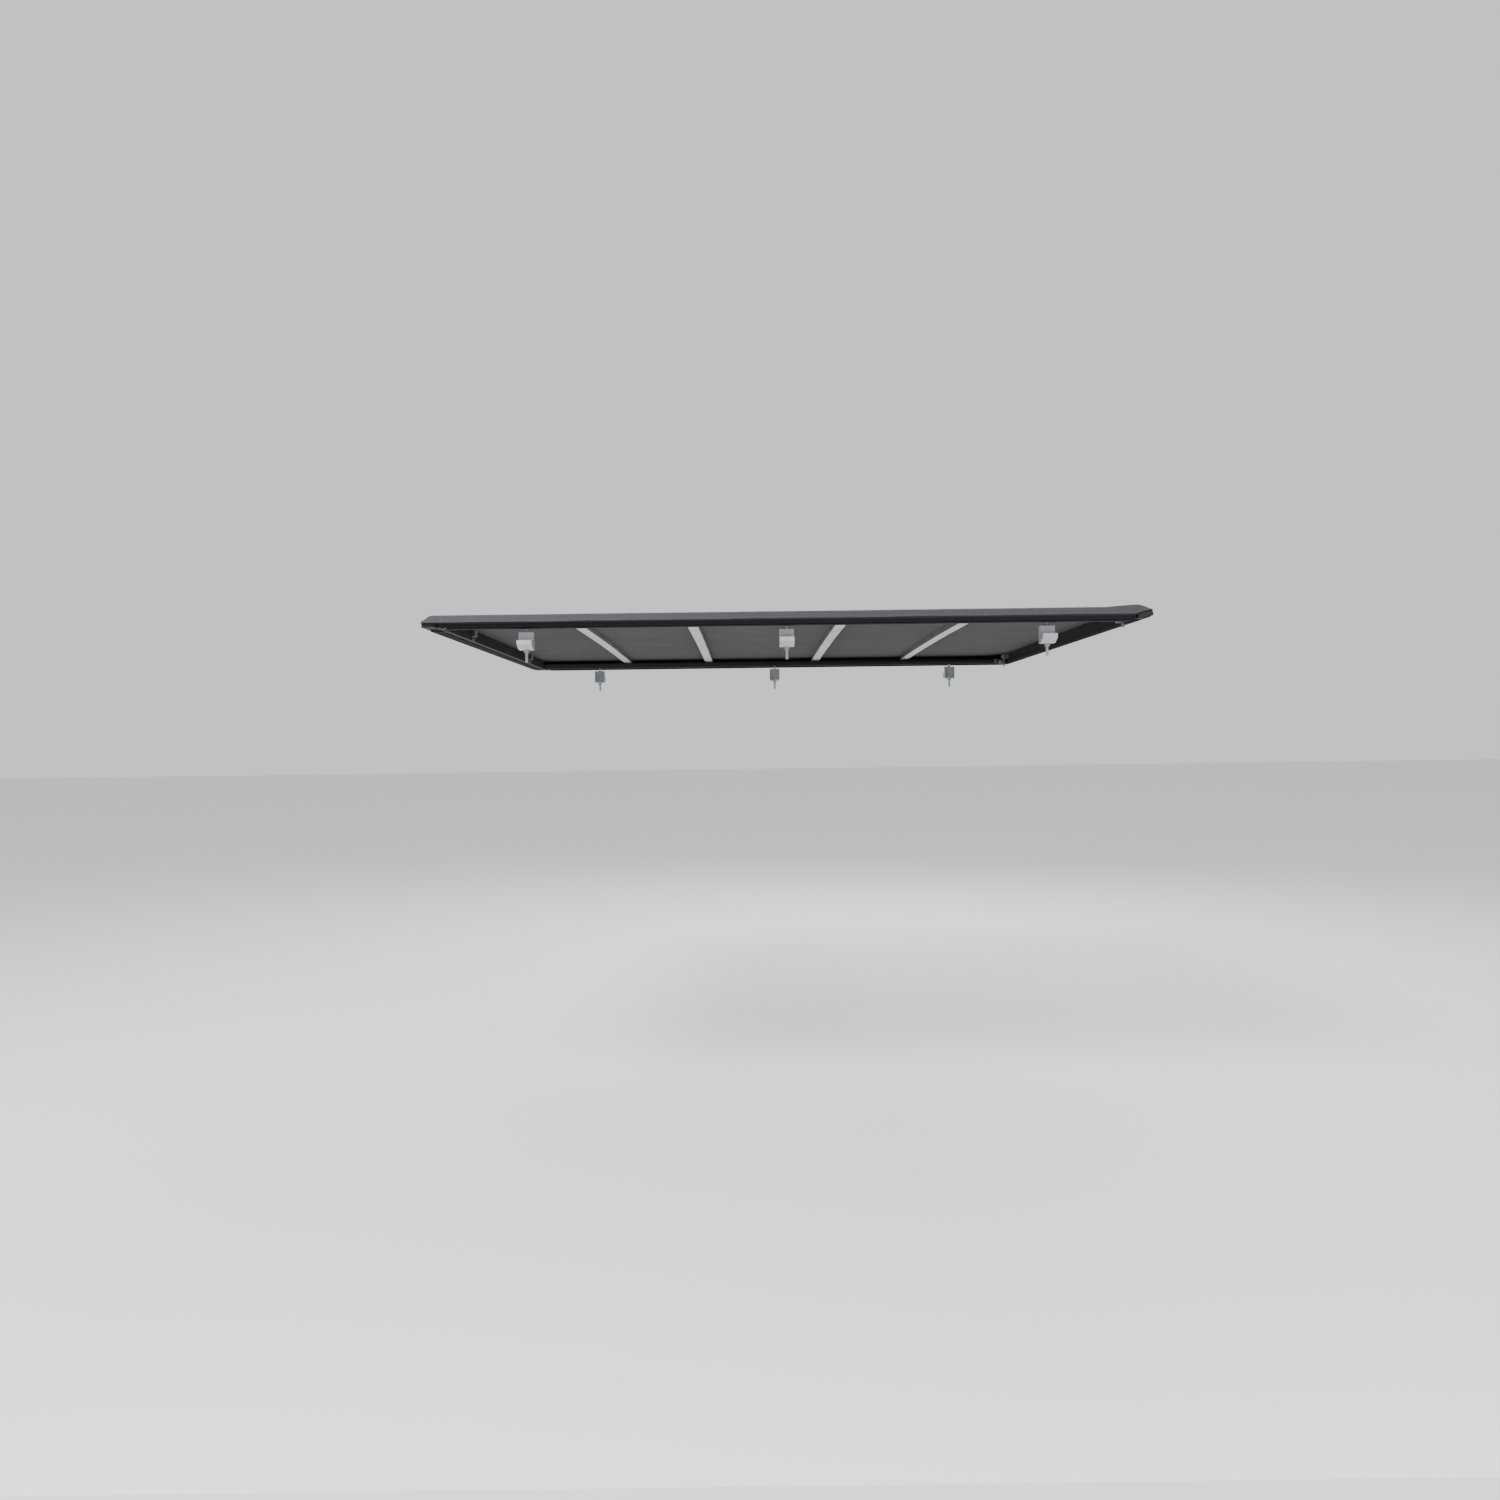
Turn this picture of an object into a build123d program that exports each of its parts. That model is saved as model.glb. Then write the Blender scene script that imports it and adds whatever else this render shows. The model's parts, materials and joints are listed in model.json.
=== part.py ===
"""Soft roll-up tonneau cover for a 6 ft 4 in pickup bed, as an assembly of its real pieces.

Row frame, in millimetres: +X to the tailgate, +Y to the right-hand side of the truck, +Z up.
The origin is the middle of the plane in which the seals rest on the bed rails.
Each call of save() writes one STEP file, which is one named piece or one set of equal pieces.
"""
import math
import os

from build123d import *
from build123d.topology import SkipClean

os.makedirs("parts", exist_ok=True)

# ---- the whole cover -------------------------------------------------------------------------
HALF_LENGTH = 995.0          # front edge and rear edge of the sheet
SHOULDER_Y = 822.0           # where the flat of the sheet turns down into the skirt
HEM_Y = 845.0                # lower edge of the skirt, the widest point
SIDE_TOP = 38.0              # top of the sheet along both sides
CROWN_TOP = 44.0             # top of the sheet along the middle, and of the tail bar
HEM_Z = 16.0                 # lower edge of the skirt
SHEET = 1.2                  # coated fabric
HEADER_TOP = 38.2            # top of the sheet at the middle of the header
FOLD_GAP = 0.1               # each panel stops this far short of its fold line
CROWN_FACETS = 4             # flats from the middle to the side where the crown changes
RISE_START = 868.0           # from here the sides rise to the straight tail bar

# ---- the roll: every fold turns a fifth of a turn, so panel k lies on panel k + 5 ------------
ROLL_PANELS = 14
FOLD_ANGLE = math.radians(72.0)
FIRST_SIDES = (87.0, 40.0, 75.0, 110.0)   # tail panel and the three panels it is rolled in
TAIL_LAYER = 76.0            # radial room that the tail bar and its latches take in the roll
LAYER = 22.0                 # the same for the next layer of sheet and bows
LAYER_GROWTH = 1.2           # a wider layer turns wider corners, so it takes more room
BOW_PANELS = (6, 9, 12, 14)  # panels with a bow under them, counted from the tail

# ---- bed-rail clamps -------------------------------------------------------------------------
CLAMP_X = (-720.0, 0.0, 720.0)
BOLT_Y = 777.0
JAW_PAD_Z = -32.0            # the jaw grips the bed flange between here and the seal at z = 0
JAW_BOTTOM = -56.0
NUT_HEIGHT = 8.0

# ---- side rails ------------------------------------------------------------------------------
RAIL_FRONT = -956.8
RAIL_REAR = 948.0
RAIL_BASE = 3.0
LEDGE_Z = 22.0               # shelf that carries the ends of the bows
RAIL_INNER_Y = 764.0

# ---- header and tail bar ---------------------------------------------------------------------
HEADER_REAR = -947.0
TAIL_FRONT = 953.0
LATCH_Y = 749.0
PIVOT = (938.0, 30.0)        # x and z of the latch pivot
STRIKER = (923.0, 10.0)      # x and z of the striker pin


def save(name, *solids):
    """Write one piece, or one group of equal pieces, to its own STEP file."""
    parts = []
    for item in solids:
        parts.extend(item.solids())
    shape = parts[0] if len(parts) == 1 else Compound(children=parts)
    shape.label = name
    export_step(shape, f"parts/{name}.step")


def both_sides(solid):
    """The given right-hand piece and its mirror image on the left."""
    return [solid, mirror(solid, Plane.XZ)]


def face_yz(x, points):
    """Closed polygon given as (y, z) points, in the plane at x."""
    return Face(Wire.make_polygon([(x, y, z) for y, z in points], close=True))


def face_xz(y, points):
    """Closed polygon given as (x, z) points, in the plane at y."""
    return Face(Wire.make_polygon([(x, y, z) for x, z in points], close=True))


def bar_x(points, x0, x1):
    """A profile in YZ run from x0 to x1."""
    return Solid.extrude(face_yz(x0, points), Vector(x1 - x0, 0, 0))


def bar_y(points, y0, y1):
    """A profile in XZ run from y0 to y1."""
    return Solid.extrude(face_xz(y0, points), Vector(0, y1 - y0, 0))


def block(x0, x1, y0, y1, z0, z1):
    return Pos((x0 + x1) / 2, (y0 + y1) / 2, (z0 + z1) / 2) * Box(x1 - x0, y1 - y0, z1 - z0)


def rod_y(x, z, radius, y0, y1):
    """Round bar along Y."""
    return Pos(x, (y0 + y1) / 2, z) * Rot(90, 0, 0) * Cylinder(radius, abs(y1 - y0))


def rod_x(y, z, radius, x0, x1):
    """Round bar along X."""
    return Pos((x0 + x1) / 2, y, z) * Rot(0, 90, 0) * Cylinder(radius, abs(x1 - x0))


def rod_z(x, y, radius, z0, z1):
    """Round bar along Z."""
    return Pos(x, y, (z0 + z1) / 2) * Cylinder(radius, abs(z1 - z0))


# ---- the sheet -------------------------------------------------------------------------------
def side_height(x):
    """Top of the sheet at its side: level, then rising to the straight tail bar."""
    t = min(max((x - RISE_START) / (TAIL_FRONT - RISE_START), 0.0), 1.0)
    return SIDE_TOP + (CROWN_TOP - 0.3 - SIDE_TOP) * t * t * (3 - 2 * t)


def sheet_outline(x, side_z, centre_z, inset):
    """Face across the truck bounded above by the sheet, moved in by inset and cut at the hem."""
    run, drop = HEM_Y - SHOULDER_Y, side_z - HEM_Z
    slope = math.hypot(run, drop)
    turn = math.atan2(drop, run)
    shoulder = (SHOULDER_Y - inset * math.tan(turn / 2), side_z - inset)
    hem = (HEM_Y - inset * slope / drop, HEM_Z)
    top = centre_z - inset
    right = [(x, *shoulder), (x, *hem)]
    left = [(x, -hem[0], hem[1]), (x, -shoulder[0], shoulder[1])]
    edges = [Edge.make_three_point_arc(left[1], (x, 0, top), right[0]),
             Edge.make_line(right[0], right[1]),
             Edge.make_line(right[1], left[0]),
             Edge.make_line(left[0], left[1])]
    return Face(Wire(edges))


def sheet_block(x0, x1, sides, centres, inset):
    """Everything under the sheet between x0 and x1, moved in by inset."""
    ends = [sheet_outline(x, side, centre, inset)
            for x, side, centre in zip((x0, x1), sides, centres)]
    return Solid.make_loft([ends[0].outer_wire(), ends[1].outer_wire()], ruled=True)


def faceted_half(x0, x1, sides, centres, inset):
    """Right-hand half of what is under the sheet where its crown changes, with a skin of flat triangles."""
    ends = []
    for x, side, centre in zip((x0, x1), sides, centres):
        drop = side - HEM_Z
        slope = math.hypot(HEM_Y - SHOULDER_Y, drop)
        shoulder_y = SHOULDER_Y - inset * math.tan(math.atan2(drop, HEM_Y - SHOULDER_Y) / 2)
        steps = [k / CROWN_FACETS for k in range(CROWN_FACETS + 1)]
        crown = [(x, shoulder_y * t, centre + (side - centre) * t * t - inset) for t in steps]
        ends.append([(x, 0, HEM_Z), *crown, (x, HEM_Y - inset * slope / drop, HEM_Z)])
    faces = [Face(Wire.make_polygon(end, close=True)) for end in ends]
    for k in range(len(ends[0])):
        a, b, c, d = ends[0][k - 1], ends[0][k], ends[1][k], ends[1][k - 1]
        faces += [Face(Wire.make_polygon(corners, close=True)) for corners in ((a, b, c), (a, c, d))]
    return Solid(Shell(faces))


def both_halves(right):
    """The right-hand half of a length of sheet, joined to its mirror image along the middle."""
    with SkipClean():
        return right + mirror(right, Plane.XZ)


def sheet_panel(x0, x1, sides, centres):
    """One length of sheet with its two skirts."""
    whole = sheet_block(x0, x1, sides, centres, 0) - sheet_block(x0, x1, sides, centres, SHEET)
    return both_halves(whole & block(x0, x1, 0, HEM_Y + 5, HEM_Z - 1, CROWN_TOP + 1))


def panel_lengths():
    """Panel lengths from the tail forward, so that each layer clears the one rolled inside it."""
    sides = list(FIRST_SIDES)
    for inner in range(1, ROLL_PANELS - 3):
        room = TAIL_LAYER if inner == 1 else LAYER + LAYER_GROWTH * (inner - 2)
        spare = room - math.sin(FOLD_ANGLE / 2) * (sides[inner + 2] - sides[inner + 1])
        sides.append(sides[inner] + spare / math.sin(FOLD_ANGLE))
    return sides


def fold_lines():
    """X of the folds from the header to the tail, and of the tail end."""
    x = HALF_LENGTH
    folds = [x]
    for length in panel_lengths():
        x -= length
        folds.append(x)
    return folds[::-1]


FOLDS = fold_lines()

# front piece: wrapped over the header, then rising to the full crown at the first fold
front_outline = [(HEADER_REAR, HEADER_TOP + 1), (-975.0, HEADER_TOP + 1), (-975.0, SIDE_TOP),
                 (-HALF_LENGTH, 20.0), (-HALF_LENGTH, HEM_Z), (HEADER_REAR, HEM_Z)]
front_inner = [(HEADER_REAR, HEADER_TOP + 1), (-974.5, HEADER_TOP + 1), (-974.5, SIDE_TOP - SHEET),
               (-HALF_LENGTH + SHEET, 19.5), (-HALF_LENGTH + SHEET, HEM_Z), (HEADER_REAR, HEM_Z)]
header_sides = (SIDE_TOP, SIDE_TOP)
header_centres = (HEADER_TOP, HEADER_TOP)
over_header = faceted_half(-HALF_LENGTH, HEADER_REAR, header_sides, header_centres, 0)
over_header &= bar_y(front_outline, -1, HEM_Y)
under_header = faceted_half(-HALF_LENGTH, HEADER_REAR, header_sides, header_centres, SHEET)
under_header &= bar_y(front_inner, -1, HEM_Y)
base_centres = (HEADER_TOP, CROWN_TOP)
base_panel, base_inside = [
    faceted_half(HEADER_REAR, FOLDS[0] - FOLD_GAP, header_sides, base_centres, inset) for inset in (0, SHEET)]
save("sheet_front", both_halves((over_header - under_header) + (base_panel - base_inside)))

# rolling panels, numbered from the header
for number in range(1, ROLL_PANELS):
    x0, x1 = FOLDS[number - 1] + FOLD_GAP, FOLDS[number] - FOLD_GAP
    save(f"sheet_panel_{number:02d}",
         sheet_panel(x0, x1, (side_height(x0), side_height(x1)), (CROWN_TOP, CROWN_TOP)))

# tail piece: rises to the tail bar and wraps round its nose; the hem kicks up at the corner
tail_wrap = [(TAIL_FRONT, CROWN_TOP + 1), (964.0, CROWN_TOP + 1), (964.0, CROWN_TOP),
             (HALF_LENGTH, 28.0), (HALF_LENGTH, 10.0), (971.0, 2.0), (TAIL_FRONT, 2.0)]
tail_inside = [(TAIL_FRONT, CROWN_TOP + 1), (963.7, CROWN_TOP + 1), (963.7, CROWN_TOP - SHEET),
               (HALF_LENGTH - SHEET, 27.3), (HALF_LENGTH - SHEET, 10.8), (970.8, 3.1),
               (970.8, 1.0), (TAIL_FRONT, 1.0)]
tail_side = side_height(TAIL_FRONT)
lower_sides = [(SHOULDER_Y - 4, -5), (HEM_Y + 5, -5), (HEM_Y + 5, HEM_Z), (SHOULDER_Y - 4, HEM_Z)]


def tail_block(outline, inset):
    """The tail bar's outline run across the cover, bevelled at the sides like the sheet."""
    upper = sheet_block(TAIL_FRONT, HALF_LENGTH, (tail_side, tail_side), (CROWN_TOP, CROWN_TOP), inset)
    lower = block(TAIL_FRONT, HALF_LENGTH, -HEM_Y + 25, HEM_Y - 25, 0, HEM_Z)
    return (upper + lower) & bar_y(outline, -HEM_Y, HEM_Y)


corner_cut = bar_y([(TAIL_FRONT, -5), (TAIL_FRONT, HEM_Z), (964.0, 22.0), (996.0, 28.0), (996.0, -5)],
                   SHOULDER_Y - 2, HEM_Y + 5)
tail_wrap_sheet = tail_block(tail_wrap, 0) - tail_block(tail_inside, SHEET)
for cutter in both_sides(corner_cut):
    tail_wrap_sheet -= cutter
rear_fold = FOLDS[ROLL_PANELS - 1] + FOLD_GAP
rising = sheet_panel(rear_fold, TAIL_FRONT, (side_height(rear_fold), tail_side), (CROWN_TOP, CROWN_TOP))
save("sheet_tail", rising + tail_wrap_sheet)

# ---- side rails ------------------------------------------------------------------------------
rail_outline = [(RAIL_INNER_Y, RAIL_BASE), (RAIL_INNER_Y, LEDGE_Z), (800.0, LEDGE_Z), (800.0, 35.5),
                (804.0, 36.6), (819.7, 36.6), (840.2, 17.0), (838.5, 14.6), (826.0, 12.0),
                (826.0, RAIL_BASE)]
main_chamber = [(803.0, 5.5), (803.0, 33.8), (818.5, 33.8), (823.5, 29.0), (823.5, 5.5)]
side_chamber = [(788.5, 5.5), (788.5, 19.5), (800.5, 19.5), (800.5, 5.5)]
slot_head = [(768.0, 6.0), (768.0, 14.0), (786.0, 14.0), (786.0, 6.0)]
slot_mouth = [(772.5, 2.0), (772.5, 6.0), (781.5, 6.0), (781.5, 2.0)]

rail = bar_x(rail_outline, RAIL_FRONT, RAIL_REAR)
for hollow in (main_chamber, side_chamber, slot_head, slot_mouth):
    rail -= bar_x(hollow, RAIL_FRONT - 1, RAIL_REAR + 1)
striker_screws_at = ((911.0, 8.0), (911.0, 16.5))
for x, z in striker_screws_at:
    rail -= rod_y(x, z, 2.6, 760, 768.5)
corner_screw = (-943.0, 813.0)
rail -= rod_z(*corner_screw, 2.6, 2, 6)
right_rail, left_rail = both_sides(rail)
save("right_side_rail", right_rail)
save("left_side_rail", left_rail)

seal_strip = bar_x([(797.0, 0.0), (796.0, 1.5), (797.0, 3.0), (823.0, 3.0), (824.0, 1.5), (823.0, 0.0)],
                   -930.0, RAIL_REAR)
for y in (803.0, 810.0, 817.0):
    seal_strip -= rod_x(y, 0.0, 1.2, -931.0, RAIL_REAR + 1)
save("rail_seals", *both_sides(seal_strip))

slope_y, slope_z = (840.2 - 819.7), (17.0 - 36.6)
slope_length = math.hypot(slope_y, slope_z)
along = (slope_y / slope_length, slope_z / slope_length)
outward = (-along[1], along[0])


def on_slope(distance, height):
    """Point on the rail's bevel: distance down the slope, height off it."""
    return (819.7 + along[0] * distance + outward[0] * height,
            36.6 + along[1] * distance + outward[1] * height)


tape = bar_x([on_slope(1.5, 0), on_slope(1.5, 1.0), on_slope(26.5, 1.0), on_slope(26.5, 0)],
             -940.0, 940.0)
save("hook_tapes", *both_sides(tape))

# ---- header ----------------------------------------------------------------------------------
header_outline = [(-993.6, 3.0), (-993.6, 19.3), (-974.3, 36.6), (HEADER_REAR, 36.6), (HEADER_REAR, 3.0)]
header_hollow = [(-991.2, 5.4), (-991.2, 18.2), (-973.4, 34.2), (HEADER_REAR - 2.4, 34.2),
                 (HEADER_REAR - 2.4, 5.4)]
header_screw = (-953.5, 742.0)
strap_y = (-450.0, 450.0)
header = bar_y(header_outline, -763.5, 763.5) - bar_y(header_hollow, -764, 764)
for cutter in both_sides(rod_z(*header_screw, 2.6, 2, 6)):
    header -= cutter
for y in strap_y:
    header -= rod_x(y, 9.5, 2.1, HEADER_REAR - 3, HEADER_REAR + 1)
save("front_header", header)

header_seal = block(-990.0, -962.0, -760.0, 760.0, 0.0, 3.0)
for x in (-983.0, -976.0, -969.0):
    header_seal -= rod_y(x, 0.0, 1.2, -761, 761)
save("header_seal", header_seal)

# corner blocks join header and rails: a tongue goes into each extrusion
corner = bar_x([(763.8, 3.0), (763.8, 36.6), (819.7, 36.6), (840.2, 17.0), (838.0, 14.0), (838.0, 3.0)],
               -993.6, -957.0)
corner &= bar_y(header_outline, 763.8, 845)
rail_tongue = bar_x([(803.4, 5.9), (803.4, 33.4), (818.3, 33.4), (823.1, 28.8), (823.1, 5.9)],
                    -958.0, -930.0)
header_tongue = bar_y([(-990.8, 5.8), (-990.8, 18.0), (-973.2, 33.8), (-949.8, 33.8), (-949.8, 5.8)],
                      725.0, 763.8)
corner = corner + rail_tongue + header_tongue
corner -= rod_z(*header_screw, 2.5, 2, 18)
corner -= rod_z(*corner_screw, 2.5, 2, 18)
corner -= block(-985.0, -962.0, 775.0, 795.0, 2.0, 30.0)
save("header_corners", *both_sides(corner))


def cap_screw(x, y, z_head):
    """Button-head screw pointing up, with a hex recess."""
    screw = rod_z(x, y, 4.6, z_head, z_head + 2.6) + rod_z(x, y, 2.48, z_head + 2.5, z_head + 15.0)
    recess = Pos(x, y, z_head) * extrude(RegularPolygon(1.7, 6), 1.4)
    return screw - recess


save("header_screws", *both_sides(cap_screw(*header_screw, 0.4)),
     *both_sides(cap_screw(*corner_screw, 0.4)))

# storage straps: webbing screwed behind the header, the free length folded flat
FOLD = 2.1                   # spacing of the folds
WEBBING = 1.8
strap = block(HEADER_REAR + 0.1, HEADER_REAR + 0.1 + WEBBING, -19, 19, 4.5, 35.3)
for turn in range(1, 5):
    x = HEADER_REAR + 0.1 + turn * FOLD
    strap += block(x, x + WEBBING, -19, 19, 16.5, 35.3)
    bridge_z = 33.5 if turn % 2 else 16.5
    strap += block(x - FOLD, x + WEBBING, -19, 19, bridge_z, bridge_z + WEBBING)
strap -= rod_x(0, 9.5, 2.1, HEADER_REAR - 1, HEADER_REAR + 2.5)
save("storage_straps", *[Pos(0, y, 0) * strap for y in strap_y])
strap_screw = rod_x(0, 9.5, 4.4, HEADER_REAR + 1.9, HEADER_REAR + 4.3)
strap_screw += rod_x(0, 9.5, 2.0, HEADER_REAR - 8, HEADER_REAR + 2)
strap_screw -= block(HEADER_REAR + 3.2, HEADER_REAR + 5, -3.2, 3.2, 9.0, 10.0)
strap_screw -= block(HEADER_REAR + 3.2, HEADER_REAR + 5, -0.5, 0.5, 6.3, 12.7)
save("strap_screws", *[Pos(0, y, 0) * strap_screw for y in strap_y])

# ---- rail end caps ---------------------------------------------------------------------------
end_cap = bar_x(rail_outline, RAIL_REAR + 0.1, RAIL_REAR + 2.6)
end_cap += bar_x([(803.5, 6.0), (803.5, 33.3), (818.2, 33.3), (823.0, 28.8), (823.0, 6.0)],
                 RAIL_REAR - 14.0, RAIL_REAR + 1)
end_cap -= bar_x([(806.0, 8.5), (806.0, 30.8), (817.2, 30.8), (820.5, 27.7), (820.5, 8.5)],
                 RAIL_REAR - 15.0, RAIL_REAR - 1)
save("rail_end_caps", *both_sides(end_cap))

# ---- clamps ----------------------------------------------------------------------------------
def t_bolt(x):
    bolt = block(x - 7, x + 7, BOLT_Y - 8, BOLT_Y + 8, 6.0, 12.0)
    bolt += rod_z(x, BOLT_Y, 4.0, -90.0, 7.0)
    return bolt - (Pos(x, BOLT_Y, -90) * (Cylinder(6, 2) - Cone(3.2, 4.2, 2)))


save("clamp_t_bolts", *[piece for x in CLAMP_X for piece in both_sides(t_bolt(x))])

jaw_outline = [(766.0, JAW_BOTTOM), (790.0, JAW_BOTTOM), (816.0, -44.0), (816.0, JAW_PAD_Z),
               (792.0, JAW_PAD_Z), (792.0, -41.0), (786.0, -41.0), (786.0, -8.0), (766.0, -8.0)]


def jaw(x):
    """Cast jaw: a guide round the bolt, and an arm with a ribbed pad under the bed flange."""
    body = bar_x(jaw_outline, x - 20, x + 20)
    body -= rod_z(x, BOLT_Y, 4.5, JAW_BOTTOM - 1, 0)
    for y in (796.0, 802.0, 808.0):
        body -= block(x - 21, x + 21, y, y + 2, JAW_PAD_Z - 1.2, JAW_PAD_Z + 1)
    for side in (-1, 1):
        body -= block(x + side * 13 - 4, x + side * 13 + 4, 765.0, 769.0, JAW_BOTTOM + 6, -12.0)
    return body


def nut(x):
    """Flange nut that the jaw rests on."""
    top = JAW_BOTTOM - 0.1
    body = rod_z(x, BOLT_Y, 8.9, top - 1.8, top)
    body += Pos(x, BOLT_Y, top - NUT_HEIGHT) * extrude(RegularPolygon(7.5, 6), NUT_HEIGHT - 1)
    return body - rod_z(x, BOLT_Y, 4.06, top - NUT_HEIGHT - 1, top + 1)


for number, x in enumerate(CLAMP_X, start=1):
    for side, pieces in (("right", 0), ("left", 1)):
        save(f"{side}_jaw_{number}", both_sides(jaw(x))[pieces])
        save(f"{side}_nut_{number}", both_sides(nut(x))[pieces])

# ---- bows ------------------------------------------------------------------------------------
BOW_WIDTH, BOW_DEPTH, BOW_WALL = 30.0, 14.0, 1.6
BOW_END = 795.0
TIP_END = 798.5


def bow_face(x, below_top, depth, end_y):
    """Face across the truck that follows the crown, from below_top down by depth."""
    def edge_z(y, drop):
        return CROWN_TOP - (CROWN_TOP - SIDE_TOP) * (y / SHOULDER_Y) ** 2 - drop
    upper = [(x, y, edge_z(y, below_top)) for y in (-end_y, 0, end_y)]
    lower = [(x, y, edge_z(y, below_top + depth)) for y in (end_y, 0, -end_y)]
    return Face(Wire([Edge.make_three_point_arc(*upper), Edge.make_line(upper[2], lower[0]),
                      Edge.make_three_point_arc(*lower), Edge.make_line(lower[2], upper[0])]))


def bow_bar(x, width, below_top, depth, end_y):
    return Solid.extrude(bow_face(x - width / 2, below_top, depth, end_y), Vector(width, 0, 0))


panel_middle = {ROLL_PANELS + 1 - count: sum(FOLDS[ROLL_PANELS - count:ROLL_PANELS - count + 2]) / 2
                for count in BOW_PANELS}
for number, panel in enumerate(sorted(panel_middle), start=1):
    x = panel_middle[panel]
    under_sheet = SHEET + 0.2
    outer = bow_bar(x, BOW_WIDTH, under_sheet, BOW_DEPTH, BOW_END)
    inner = bow_bar(x, BOW_WIDTH - 2 * BOW_WALL, under_sheet + BOW_WALL, BOW_DEPTH - 2 * BOW_WALL,
                    BOW_END + 1)
    save(f"bow_{number}", outer - inner)
    tip = block(x - 17, x + 17, 772.0, TIP_END, LEDGE_Z + 0.15, 36.8)
    tip -= bow_bar(x, BOW_WIDTH + 0.3, 0, BOW_DEPTH + under_sheet + 0.1, BOW_END + 0.2)
    plug = bow_bar(x, BOW_WIDTH - 2 * BOW_WALL - 0.4, under_sheet + BOW_WALL + 0.2,
                   BOW_DEPTH - 2 * BOW_WALL - 0.4, TIP_END)
    tip += plug & block(x - 17, x + 17, 775.0, TIP_END, 20, 45)
    save(f"bow_tips_{number}", *both_sides(tip))

# ---- tail bar --------------------------------------------------------------------------------
tail_outline = [(TAIL_FRONT + 0.2, 42.4), (963.4, 42.4), (993.5, 26.9), (993.5, 11.1), (970.5, 3.4),
                (TAIL_FRONT + 0.2, 3.4)]
tail_hollow = [(TAIL_FRONT + 2.6, 40.0), (962.8, 40.0), (991.1, 25.4), (991.1, 12.8), (970.1, 5.8),
               (TAIL_FRONT + 2.6, 5.8)]
tail_plug = [(TAIL_FRONT + 3.0, 39.6), (962.7, 39.6), (990.7, 25.1), (990.7, 13.1), (970.0, 6.2),
             (TAIL_FRONT + 3.0, 6.2)]
plug_hollow = [(TAIL_FRONT + 5.5, 36.5), (961.9, 36.5), (987.9, 23.4), (987.9, 15.0), (969.5, 8.9),
               (TAIL_FRONT + 5.5, 8.9)]
housing_screws_at = ((LATCH_Y - 20.0, 24.0), (LATCH_Y - 20.0, 35.0))
tail_rail = bar_y(tail_outline, -812, 812) - bar_y(tail_hollow, -813, 813)
for y, z in housing_screws_at:
    for cutter in both_sides(rod_x(y, z, 2.6, 950, 957)):
        tail_rail -= cutter
save("tail_rail", tail_rail)

cap_limit = [(812.1, 0.0), (812.1, 42.4), (819.0, 42.4), (841.0, 16.0), (841.0, 0.0)]
tail_cap = bar_y(tail_outline, 812.1, 845) & bar_x(cap_limit, 950, 996)
tail_cap += bar_y(tail_plug, 780, 813) - bar_y(plug_hollow, 779, 810)
save("tail_caps", *both_sides(tail_cap))

tail_seal = block(956.0, 969.0, -806, 806, 0.8, 3.4) + rod_y(962.5, 1.5, 1.5, -806, 806)
save("tail_seal", tail_seal - rod_y(962.5, 1.5, 0.8, -807, 807))


def housing():
    """Bracket on the front wall of the tail bar with two ears for the pivot pin."""
    body = block(950.4, 953.0, LATCH_Y - 26, LATCH_Y + 11, 18.0, 41.0)
    for inner in (LATCH_Y - 11, LATCH_Y + 8):
        body += bar_y([(932.0, 24.0), (930.0, 30.0), (932.0, 36.0), (938.0, 38.5), (951.0, 39.0),
                       (951.0, 20.0), (938.0, 21.5)], inner, inner + 3)
    body -= rod_y(*PIVOT, 3.0, LATCH_Y - 12, LATCH_Y + 12)
    for y, z in housing_screws_at:
        body -= rod_x(y, z, 2.6, 949, 957)
    return body


save("latch_housings", *both_sides(housing()))
pivot_pin = rod_y(*PIVOT, 2.98, LATCH_Y - 11.5, LATCH_Y + 11.5)
pivot_pin += rod_y(*PIVOT, 4.2, LATCH_Y - 13, LATCH_Y - 11.4)
save("latch_pins", *both_sides(pivot_pin))


def housing_screw(y, z):
    screw = rod_x(y, z, 4.4, 948.0, 950.4) + rod_x(y, z, 2.45, 950.3, 966.0)
    return screw - (Pos(947.9, y, z) * Rot(0, 90, 0) * extrude(RegularPolygon(1.7, 6), 1.4))


save("housing_screws", *[piece for y, z in housing_screws_at
                         for piece in both_sides(housing_screw(y, z))])

# hook: hangs from the pivot, with a claw under the striker pin and a finger lever at its foot
hook_outline = [(941.5, 30.0), (941.5, 4.0), (942.5, -11.0), (938.5, -12.0), (936.5, 0.5), (921.0, 1.0),
                (919.8, 2.5), (919.8, 5.7), (932.5, 5.7), (934.5, 8.0), (934.5, 30.0)]
lever_pad = [(937.2, -2.0), (938.5, -12.0), (942.5, -11.0), (942.0, -2.0)]
hook = bar_y(hook_outline, LATCH_Y - 4, LATCH_Y + 4) + rod_y(*PIVOT, 6.5, LATCH_Y - 4, LATCH_Y + 4)
hook += bar_y(lever_pad, LATCH_Y - 7.5, LATCH_Y + 7.5)
hook -= rod_y(*PIVOT, 3.04, LATCH_Y - 9, LATCH_Y + 9)
for side, piece in zip(("right", "left"), both_sides(hook)):
    save(f"latch_hook_{side}", piece)

# strikers on the inner walls of the side rails, each with its pin
striker = block(904.0, 931.0, 761.4, 763.9, 4.0, 21.0)
striker += rod_y(*STRIKER, 4.0, LATCH_Y - 7.0, 762.0)
striker += rod_y(*STRIKER, 5.2, LATCH_Y - 8.5, LATCH_Y - 7.0)
for x, z in striker_screws_at:
    striker -= rod_y(x, z, 2.6, 760, 765)
save("strikers", *both_sides(striker))


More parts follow.
